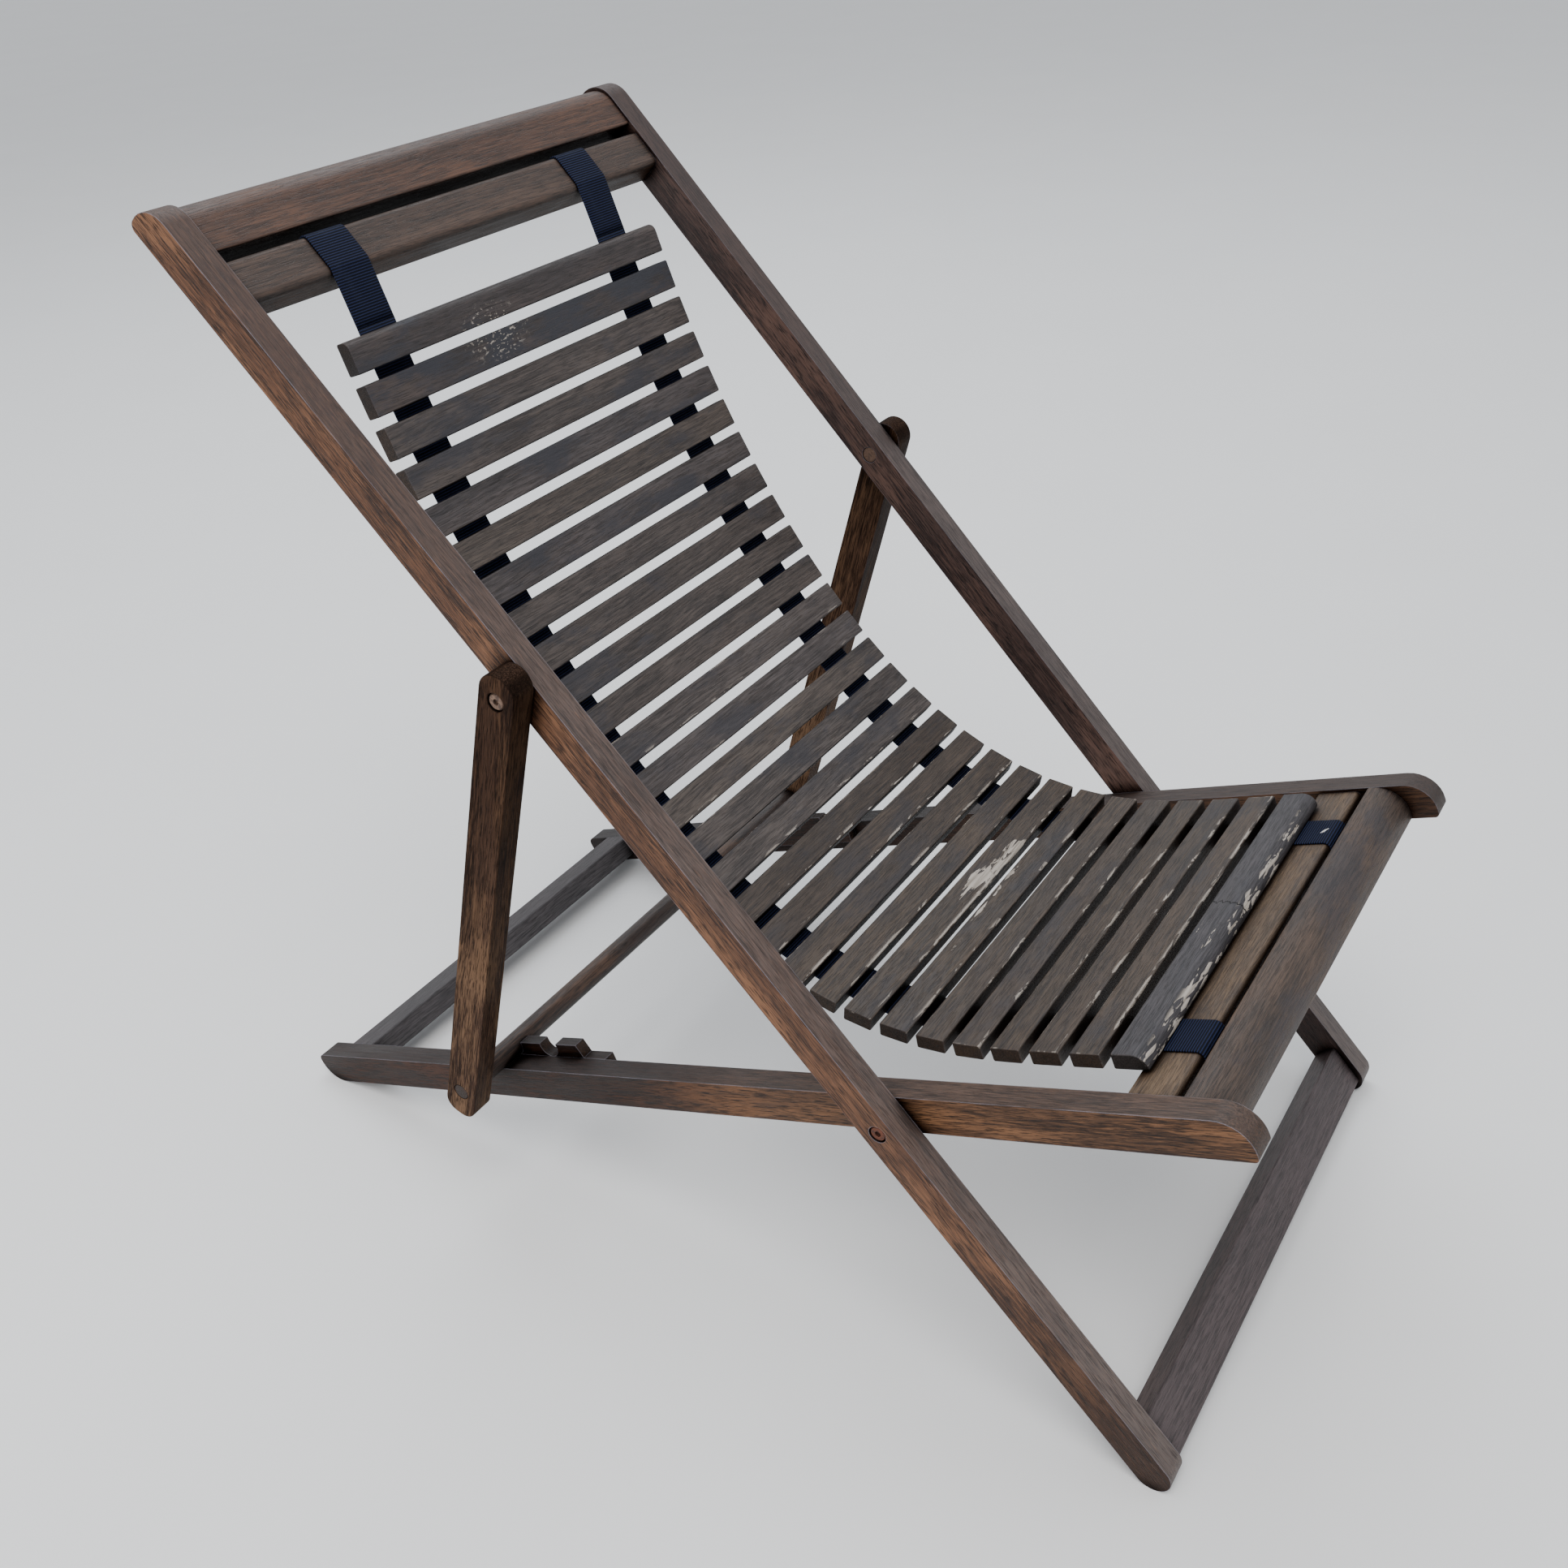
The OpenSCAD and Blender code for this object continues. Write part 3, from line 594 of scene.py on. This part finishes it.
WOODS = {
    "back": Wood("wood_back", -BACK_ANGLE, 0.0, dark=(0.028, 0.0125, 0.0075), mid=(0.112, 0.050, 0.0260),
                 warm=(0.195, 0.093, 0.048), grey=STILE_GREY, weather_and_sky_sheen=0.85, flecks=0.8, arris_glint=0.8, tall=True),
    # a darker copy of the near stile's wood: painted shade on the far stile
    "back_far_shaded": Wood("wood_back_far", -BACK_ANGLE, 0.7, dark=(0.023, 0.0135, 0.0125),
                     mid=(0.062, 0.037, 0.031), warm=(0.110, 0.062, 0.048), grey=STILE_GREY,
                     weather_and_sky_sheen=0.85, flecks=0.8, tall=True),
    "seat": Wood("wood_seat", SEAT_ANGLE, 1.3, dark=(0.024, 0.0110, 0.0060), mid=(0.102, 0.048, 0.0230),
                 warm=(0.185, 0.088, 0.041), grey=(0.060, 0.045, 0.041),
                 weather_and_sky_sheen=0.85, flecks=0.8, arris_glint=0.8, rear_stain_and_shade=REAR_STAIN_AND_SHADE),
    # a darker copy of the near seat stile's wood: painted shade on the far seat stile
    "seat_far_shaded": Wood("wood_seat_far", SEAT_ANGLE, 1.9, dark=(0.021, 0.0092, 0.0050),
                     mid=(0.050, 0.0235, 0.0125), warm=(0.080, 0.0385, 0.020), grey=(0.050, 0.038, 0.036),
                     weather_and_sky_sheen=0.85, flecks=0.8, rear_stain_and_shade=REAR_STAIN_AND_SHADE),
    # the leg's near-black grey and its strong darkening below are painted shade on faces turned from the
    # light
    "leg": Wood("wood_leg", LEG_ANGLE, 2.9, dark=(0.024, 0.0125, 0.0085), mid=(0.084, 0.0470, 0.0310),
                warm=(0.160, 0.0940, 0.0560), grey=(0.0170, 0.0115, 0.0095),
                weather_and_sky_sheen=0.95, under=0.60, gloss=0.02, lined=1.0, top_shade=SHADY_TOP),
    "prop": Wood("wood_prop_bar", None, 2.1, dark=(0.013, 0.007, 0.005), mid=(0.042, 0.020, 0.012),
                 weather_and_sky_sheen=0.4),
    "rail": Wood("wood_rail", None, 3.7, dark=(0.025, 0.0098, 0.0052), mid=(0.065, 0.0260, 0.0130),
                 warm=(0.114, 0.045, 0.021), grey=(0.088, 0.052, 0.037), weather_and_sky_sheen=0.5),
    "rear_bar": Wood("wood_rear_bar", None, 4.3, dark=(0.006, 0.0050, 0.0055), mid=(0.018, 0.0130, 0.0130),
                     warm=(0.036, 0.024, 0.020), grey=(0.105, 0.095, 0.100), weather_and_sky_sheen=0.9, gloss=0.3),
    "strap_rail": Wood("wood_strap_rail", None, 5.2, dark=(0.020, 0.0110, 0.0072),
                       mid=(0.052, 0.0275, 0.0170), warm=(0.084, 0.043, 0.025), grey=(0.079, 0.056, 0.046),
                       weather_and_sky_sheen=0.55),
    "foot": Wood("wood_foot_rail", None, 3.9, dark=(0.020, 0.0130, 0.0125), mid=(0.058, 0.038, 0.035),
                 warm=(0.084, 0.056, 0.051), grey=(0.102, 0.080, 0.084), weather_and_sky_sheen=0.8),
    "front_rail": Wood("wood_front_rail", None, 4.9, dark=(0.023, 0.0135, 0.0090),
                       mid=(0.058, 0.034, 0.0225), warm=(0.104, 0.058, 0.034), grey=(0.073, 0.057, 0.049),
                       weather_and_sky_sheen=0.6, stain=0.5, flake_at=0.725),
    "golden": Wood("wood_golden", None, 6.1, dark=(0.052, 0.031, 0.0175), mid=(0.106, 0.065, 0.0365),
                   warm=(0.156, 0.096, 0.051), grey=(0.118, 0.086, 0.062),
                   weather_and_sky_sheen=0.35, flecks=0.6, stain=0.35, arris_glint=0.3),
    "slat_top": Wood("wood_slat_top", None, 8.3, weather_and_sky_sheen=0.55, stain=0.9, speck_at=SPECKS, **BLUISH),
    "slat_up": Wood("wood_slat_upper", None, 8.9, weather_and_sky_sheen=0.75, stain=0.7, flake_at=0.77, **SLAT),
    "slat_mid": Wood("wood_slat_middle", None, 9.1, weather_and_sky_sheen=0.8, stain=0.6,
                     chip_at=0.615, flake_at=0.765, **MIDDLE),
    "slat_low": Wood("wood_slat_lower", None, 10.4, weather_and_sky_sheen=0.8, stain=0.45, arris_glint=0.7,
                     chip_at=0.565, flake_at=0.770, hot=HOT, **BROWN),
    "slat_nose": Wood("wood_slat_nose", None, 11.9, weather_and_sky_sheen=0.85, stain=0.5, arris_glint=0.9,
                      chip_at=0.585, flake_at=0.66, crack_x=SPLIT_X, **NOSE),
    "dowel": Wood("wood_dowel", None, 13.0),
}
M = {
    "bolt": metal("bolt_metal", (0.15, 0.054, 0.033), (0.060, 0.026, 0.018)),
    "bronze": metal("bronze_metal", (0.21, 0.135, 0.098), (0.080, 0.050, 0.038)),
    "steel": metal("small_metal", (0.34, 0.33, 0.32), (0.12, 0.085, 0.06)),
    "web": webbing("webbing"),
    "thread": cotton("thread"),
    "staple": metal("staple_steel", (0.45, 0.44, 0.43), (0.20, 0.15, 0.11), 0.35),
}
M.update({key: wood.mat for key, wood in WOODS.items()})

# ---------------------------------------------------------------- finishes of the CAD nodes
FINISH = {
    "back_stile_left": "back", "back_stile_right": "back_far_shaded", "top_rail": "rail",
    "top_strap_rail": "strap_rail", "foot_crossbar": "foot",
    "seat_stile_left": "seat", "seat_stile_right": "seat_far_shaded", "front_rail": "front_rail",
    "front_strap_rail": "golden", "rear_crossbar": "rear_bar",
    "notch_rack_left": "seat", "notch_rack_right": "seat",
    "prop_leg_left": "leg", "prop_leg_right": "leg", "prop_bar": "prop",
}
# the last slat of each stretch of the mat, and its wood
STRETCHES = ((2, "slat_top"), (11, "slat_up"), (16, "slat_mid"), (SLATS - 1, "slat_low"),
             (SLATS, "slat_nose"))
for i in range(1, SLATS + 1):
    FINISH[slat_name(i)] = next(key for last, key in STRETCHES if i <= last)
for n in NODES:
    if n.endswith(("bolts", "nuts")):
        FINISH[n] = "bronze" if n.startswith("prop") else "bolt"
    elif n.endswith(("washers", "screws", "tacks")):
        FINISH[n] = "steel"
    elif n.endswith("dowels"):
        FINISH[n] = "dowel"

# how far the arrises of each wood are eased, in mm
EASED = {
    1.4: ("back", "back_far_shaded", "seat", "seat_far_shaded", "leg", "foot"),
    1.2: ("rail", "strap_rail", "rear_bar", "front_rail", "golden"),
    0.8: ("prop", "slat_top", "slat_up", "slat_mid", "slat_low"),
    2.0: ("slat_nose",),
}
BEVEL = {key: width for width, keys in EASED.items() for key in keys}
SAME_PLACE = 0.01 * MM
SAME_PLANE = math.radians(0.5)
SHARP = math.radians(32)


def soften(o, width):
    """Eased arrises on a CAD piece, by modifiers only."""
    o.modifiers.new("weld", "WELD").merge_threshold = SAME_PLACE
    flat = o.modifiers.new("flat", "DECIMATE")
    flat.decimate_type = "DISSOLVE"
    flat.angle_limit = SAME_PLANE
    b = o.modifiers.new("ease", "BEVEL")
    b.width = width * MM
    b.segments = 3
    b.limit_method = "ANGLE"
    b.angle_limit = SHARP
    b.use_clamp_overlap = True
    n = o.modifiers.new("normals", "WEIGHTED_NORMAL")
    n.keep_sharp = False
    n.weight = 100


for name, key in FINISH.items():
    o = NODES[name]
    for s in o.material_slots:
        s.material = M[key]
    if key in BEVEL:
        soften(o, BEVEL[key])
        for p in o.data.polygons:
            p.use_smooth = True

# ---------------------------------------------------------------- the line of the mat
# the bend in degrees between one slat and the next: a slow rise to its peak, then a quick fall
BEND_BASE, BEND_PEAK = 1.753, 7.125
BEND_AT, BEND_UP, BEND_DOWN = 22.55, 8.38, 2.4
# sizes on the members, in mm: the middle of a strap over what it lies on, and the last slat's place
STRAP_MID = 1.1
FRONT_STRAP_TOP = 14.0
LAST_SLAT_X = 191.8


def bend(i):
    d = i + 0.5 - BEND_AT
    if d < 0:
        return BEND_BASE + (BEND_PEAK - BEND_BASE) * math.exp(-(d / BEND_UP) ** 2)
    return BEND_PEAK * math.exp(-(d / BEND_DOWN) ** 2)


def half_pitch(lean):
    """Half a slat's pitch forward, on a slat that leans by lean."""
    return Vector((0, -math.cos(lean), math.sin(lean))) * PITCH / 2


def chain():
    """Lean and strap middle of every slat, and the joints of the strap between them."""
    lean = {SLATS: SEAT_ANGLE}
    mid = {SLATS: side((LAST_SLAT_X * MM, (FRONT_STRAP_TOP + STRAP_MID) * MM), SEAT_ANGLE)}
    for i in range(SLATS - 1, 0, -1):
        lean[i] = lean[i + 1] - math.radians(bend(i))
        mid[i] = mid[i + 1] - half_pitch(lean[i + 1]) - half_pitch(lean[i])
    joint = {i: mid[i] - half_pitch(lean[i]) for i in mid}
    joint[SLATS + 1] = mid[SLATS] + half_pitch(lean[SLATS])
    return lean, mid, joint


LEAN, MID, JOINT = chain()

# ---------------------------------------------------------------- the straps' way round their rails
# the sections of the two strap rails, in mm on their members, and the radii of their corners
UP = dict(x0=-824.0, x1=-787.0, y0=-14.0, y1=13.0)
UP_LOW_R, UP_TOP_R, UP_FRONT_R = 2, 5, 6
UP_START = -796.0
UP_TOP = (-815.0, -805.0)
FREE_STEPS = 6
FR = dict(x0=198.0, x1=237.0, y0=-12.0, y1=14.0)
FR_TOP_R, FR_LOW_R = 5, 2
FR_TOP = (215.0, 225.0)
FR_END = 12


def at(points, lean):
    return [side((x * MM, y * MM), lean) for x, y in points]


def arc_points(centre, r, angles, lean):
    turns = [math.radians(a) for a in angles]
    return at([(centre[0] + r * math.cos(a), centre[1] + r * math.sin(a)) for a in turns], lean)


def top_route():
    """Up the back of the upper strap rail, through the slot, down its face and free to the first slat."""
    back_y = UP["y0"] - STRAP_MID
    face_y = UP["y1"] + STRAP_MID
    low = (UP["x0"] + UP_LOW_R, UP["y0"] + UP_LOW_R)
    top = (UP["x0"] + UP_TOP_R, UP["y1"] - UP_TOP_R)
    front = (UP["x1"] - UP_FRONT_R, UP["y1"] - UP_FRONT_R)
    path = at([(UP_START, back_y), (low[0], back_y)], -BACK_ANGLE)
    path += arc_points(low, UP_LOW_R + STRAP_MID, (255, 225, 195), -BACK_ANGLE)
    path += arc_points(top, UP_TOP_R + STRAP_MID, (180, 160, 140, 120, 100), -BACK_ANGLE)
    path += at([(x, face_y) for x in UP_TOP], -BACK_ANGLE)
    path += arc_points(front, UP_FRONT_R + STRAP_MID, (90, 84, 77, 70, 64), -BACK_ANGLE)
    last = path[-1]
    return path + [last.lerp(JOINT[1], k / FREE_STEPS) for k in range(1, FREE_STEPS + 1)]


def front_route():
    """Under the last slat, over the front strap rail and down into the slot before it."""
    top = (FR["x1"] - FR_TOP_R, FR["y1"] - FR_TOP_R)
    low = (FR["x1"] - FR_LOW_R, FR["y0"] + FR_LOW_R)
    path = [JOINT[SLATS]] + at([(x, FRONT_STRAP_TOP + STRAP_MID) for x in FR_TOP], SEAT_ANGLE)
    path += arc_points(top, FR_TOP_R + STRAP_MID, (90, 72, 54, 36, 18, 0), SEAT_ANGLE)
    path += at([(FR["x1"] + STRAP_MID, low[1])], SEAT_ANGLE)
    path += arc_points(low, FR_LOW_R + STRAP_MID, (330, 300, 270), SEAT_ANGLE)
    return path + at([(FR["x0"] + FR_END, FR["y0"] - STRAP_MID)], SEAT_ANGLE)


# ---------------------------------------------------------------- straps
def heading(a, b):
    return (b - a).normalized()


def up_of(d):
    """Square to a side-view direction."""
    return Vector((0, d.z, -d.y))


def add_object(name, data):
    o = bpy.data.objects.new(name, data)
    bpy.context.scene.collection.objects.link(o)
    return o


def mesh_object(name, bm, material):
    me = bpy.data.meshes.new(name)
    bm.to_mesh(me)
    bm.free()
    me.materials.append(material)
    return add_object(name, me)


def place(o, body, slot_name):
    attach(o, body)


def mitres(path, before, after):
    """The band's up direction at each point of its path, halfway between the stretches that meet there."""
    out = []
    for k in range(len(path)):
        a = heading(path[k - 1], path[k]) if k else before or heading(path[0], path[1])
        b = heading(path[k], path[k + 1]) if k < len(path) - 1 else after or heading(path[-2], path[-1])
        m = up_of((a + b).normalized())
        out.append(m / max(0.5, m.dot(up_of(b))))
    return out


def band_section():
    """A webbing band's section, anticlockwise from its left selvedge. The selvedges are soft."""
    h = STRAP_T / 2
    w = STRAP_W / 2
    c = STRAP_T * 0.42
    lower = [(-w, 0.0), (-w + c * 0.3, -h * 0.7), (-w + c, -h), (-w / 2, -h),
             (0, -h), (w / 2, -h), (w - c, -h), (w - c * 0.3, -h * 0.7)]
    return lower + [(-x, -y) for x, y in lower]


SECTION = band_section()


def band(name, path, x, before, after, run):
    """A webbing band along path, at x across the lounger. before and after are the headings past its ends.

    run is the strap's length up to this band, in metres, and the new one is given back."""
    bm = bmesh.new()
    rings = []
    runs = []
    for k, (p, up) in enumerate(zip(path, mitres(path, before, after))):
        if k:
            run += (p - path[k - 1]).length
        runs.append(run)
        rings.append([bm.verts.new(p + up * yy + Vector((x + xx, 0, 0))) for xx, yy in SECTION])
    uv = bm.loops.layers.uv.new("UVMap")
    sides = len(SECTION)
    for k in range(len(path) - 1):
        for j in range(sides):
            quad = ((k, j), (k, (j + 1) % sides), (k + 1, (j + 1) % sides), (k + 1, j))
            f = bm.faces.new([rings[kk][jj] for kk, jj in quad])
            for loop, (kk, jj) in zip(f.loops, quad):
                loop[uv].uv = (runs[kk], SECTION[jj][0])
            f.smooth = True
    for k in (0, -1):
        f = bm.faces.new(rings[k])
        for loop, (xx, yy) in zip(f.loops, SECTION):
            loop[uv].uv = (runs[k] + yy, xx)
    bmesh.ops.recalc_face_normals(bm, faces=bm.faces)
    return mesh_object(name, bm, M["web"]), run


def strap(tag, x, node):
    """One strap of the CAD as bands: one on each strap rail and one under each slat."""
    top = top_route()
    bands = [("top", "back_frame", top, None, heading(JOINT[1], JOINT[2]))]
    for i in range(1, SLATS):
        path = [JOINT[i].lerp(JOINT[i + 1], k / 4) for k in range(5)]
        before = heading(JOINT[i - 1] if i > 1 else top[-2], JOINT[i])
        bands.append((f"{i:02d}", slat_name(i), path, before, heading(JOINT[i + 1], JOINT[i + 2])))
    bands.append(("front", "seat_frame", front_route(), heading(JOINT[SLATS - 1], JOINT[SLATS]), None))
    run = 0.0
    for which, body, path, before, after in bands:
        o, run = band(f"strap_{tag}_{which}", path, x, before, after, run)
        place(o, body, "webbing")
        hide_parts(node)


strap("left", -STRAP_X, "strap_left")
strap("right", STRAP_X, "strap_right")

# ---------------------------------------------------------------- staples and stitches
STAPLE_R = 0.45 * MM
STAPLE_HALF = 5.2 * MM
STAPLE_X = 9 * MM
STAPLE_LOW = -STRAP_T / 2 - 0.35 * MM
STITCH_R = 0.4 * MM
STITCH_LIFT = Vector((0, 0, 0.3 * MM))
STITCH_FROM, STITCH_TO, STITCH_STEP = 228.0, 225.5, 1.1


def tube_along(bm, pts, r, sides=6):
    """A closed round tube through the points."""
    rings = []
    turns = [2 * math.pi * j / sides for j in range(sides)]
    for k, p in enumerate(pts):
        a = (pts[k] - pts[k - 1]).normalized() if k else (pts[1] - pts[0]).normalized()
        b = (pts[k + 1] - pts[k]).normalized() if k < len(pts) - 1 else a
        d = (a + b).normalized()
        e1 = d.orthogonal().normalized() if k == 0 else (e1 - d * e1.dot(d)).normalized()
        e2 = d.cross(e1)
        rings.append([bm.verts.new(p + (e1 * math.cos(t) + e2 * math.sin(t)) * r) for t in turns])
    for k in range(len(rings) - 1):
        for j in range(sides):
            q = (j + 1) % sides
            bm.faces.new((rings[k][j], rings[k][q], rings[k + 1][q], rings[k + 1][j]))
    bm.faces.new(list(reversed(rings[0])))
    bm.faces.new(rings[-1])


def staples(i):
    """Two staples at each strap hold slat i, each a little askew."""
    fwd = Vector((0, -math.cos(LEAN[i]), math.sin(LEAN[i])))
    nrm = up_of(fwd) * (1 if up_of(fwd).z > 0 else -1)
    leg = Vector((STAPLE_HALF, 0, 0))
    bm = bmesh.new()
    for sx in (-STRAP_X, STRAP_X):
        for d in (-STAPLE_X, STAPLE_X):
            c = MID[i] + Vector((sx + d, 0, 0))
            tilt = fwd * random.uniform(-0.6, 0.6) * MM
            near = c - leg - tilt
            far = c + leg + tilt
            low = nrm * STAPLE_LOW
            tube_along(bm, [near, near + low, far + low, far], STAPLE_R)
    o = mesh_object(f"staples_{i:02d}", bm, M["staple"])
    place(o, slat_name(i) if i < SLATS else "seat_frame", "small_metal")


for i in range(1, SLATS + 1):
    staples(i)


def stitches():
    """The few pale stitches left on one strap, where it turns down into the slot."""
    bm = bmesh.new()
    top = FRONT_STRAP_TOP + STRAP_MID + 0.9
    for k in range(3):
        a, b = at([(STITCH_FROM + STITCH_STEP * k, top), (STITCH_TO + STITCH_STEP * k, top)], SEAT_ANGLE)
        a.x = STRAP_X + (2.0 + 0.8 * k) * MM
        b.x = STRAP_X - (3.5 - 0.8 * k) * MM
        arch = [a - 2 * STITCH_LIFT, a, a.lerp(b, 0.5) + STITCH_LIFT, b, b - 2 * STITCH_LIFT]
        tube_along(bm, arch, STITCH_R)
    place(mesh_object("strap_stitches", bm, M["thread"]), "seat_frame", "webbing")


stitches()


# ---------------------------------------------------------------- stage
FLOOR_DARK = (0.88, 0.88, 0.88)
FLOOR_LIGHT = (0.92, 0.92, 0.92)
WORLD_COLOUR = (0.93, 0.96, 1.0, 1)
WORLD_STRENGTH = 0.75
LIT_POINT = Vector((0, 0, 0.4))


def floor():
    t = Tree("floor_paint")
    n = t.noise(t.add("ShaderNodeTexCoord").outputs["Object"], 3.0, 4.0)
    t.shader(Base_Color=t.mix(n, FLOOR_DARK, FLOOR_LIGHT), Roughness=0.85)
    bm = bmesh.new()
    bmesh.ops.create_grid(bm, x_segments=1, y_segments=1, size=14)
    o = mesh_object("floor", bm, t.mat)


def light(name, loc, size, power, colour):
    """A round soft light that faces the lounger."""
    d = bpy.data.lights.new(name, "AREA")
    d.shape = "DISK"
    d.size = size
    d.energy = power
    d.color = colour
    o = add_object(name, d)
    o.location = loc
    o.rotation_mode = "QUATERNION"
    o.rotation_quaternion = (LIT_POINT - Vector(loc)).to_track_quat("-Z", "Y")


def surroundings():
    world = bpy.data.worlds.new("studio")
    bpy.context.scene.world = world
    world.use_nodes = True
    background = world.node_tree.nodes["Background"]
    background.inputs["Color"].default_value = WORLD_COLOUR
    background.inputs["Strength"].default_value = WORLD_STRENGTH


floor()
light("key", (-1.8, -1.0, 4.0), 2.6, 110, (1.0, 0.985, 0.97))
light("sky", (1.6, 1.8, 4.2), 3.6, 90, (0.90, 0.95, 1.0))
light("fill", (-3.8, 0.6, 1.6), 2.4, 34, (1.0, 0.95, 0.90))
surroundings()

# ---------------------------------------------------------------- camera
# where it stands from the seat pivot, and its right and up directions, as the photograph has them
EYE_FROM_PIVOT = Vector((-1.02459, -0.47517, 0.88574))
CAMERA_RIGHT = Vector((0.53050, -0.84552, -0.06060))
CAMERA_UP = Vector((0.49353, 0.24995, 0.83304))


def camera():
    cam = bpy.data.cameras.new("camera")
    cam.sensor_width = 36
    cam.lens = 36.07
    cam.shift_x = -0.0190
    cam.shift_y = 0.0205
    cam.clip_start = 0.05
    cam.clip_end = 60
    o = add_object("camera", cam)
    turn = Matrix((CAMERA_RIGHT, CAMERA_UP, CAMERA_RIGHT.cross(CAMERA_UP))).transposed().to_4x4()
    o.matrix_world = Matrix.Translation(SEAT_PIVOT + EYE_FROM_PIVOT) @ turn
    bpy.context.scene.camera = o


camera()
